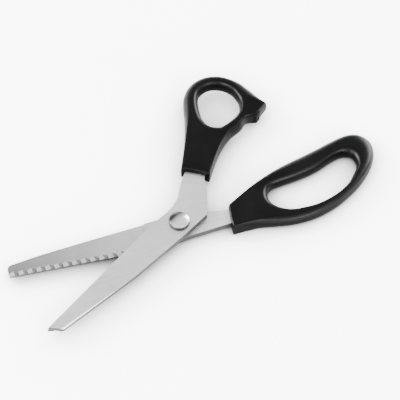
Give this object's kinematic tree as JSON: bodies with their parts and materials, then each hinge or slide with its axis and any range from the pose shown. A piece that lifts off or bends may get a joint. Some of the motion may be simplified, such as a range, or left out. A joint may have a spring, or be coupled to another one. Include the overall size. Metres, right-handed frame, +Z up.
{
  "type": "pinking shears",
  "caption": "Pinking shears with toothed steel blades, a domed pivot screw and moulded handles: a round thumb loop and a long finger loop.",
  "frame": {"origin": "on the pivot axis, in the underside of the pivot nut, which is also the plane that the shears lie on", "axes": "+X along the lower blade from its tip to the finger handle, +Z up along the pivot axis from the nut to the screw head, +Y towards the thumb loop"},
  "size_m": [0.2344, 0.1484, 0.0131],
  "materials": {
    "blade_steel": "satin ground stainless steel with fine lengthwise grain",
    "pivot_steel": "polished stainless steel",
    "washer_bronze": "plain bronze, slightly dull",
    "handle_plastic": "satin black moulded plastic",
    "pad_rubber": "matt black rubber"
  },
  "bodies": {
    "lower_half": {"lower_blade": "blade_steel", "finger_handle": "handle_plastic", "pivot_screw": "pivot_steel", "blade_washer": "washer_bronze", "spring_washer": "pivot_steel", "pivot_nut": "pivot_steel"},
    "upper_half": {"upper_blade": "blade_steel", "thumb_handle": "handle_plastic", "stop_pad": "pad_rubber"}
  },
  "joints": [
    {"name": "blade_pivot", "type": "hinge", "parent": "lower_half", "child": "upper_half", "pos_m": [0, 0, 0.00655], "axis": [0, 0, 1], "range_deg": [-24.2, 34]}
  ]
}
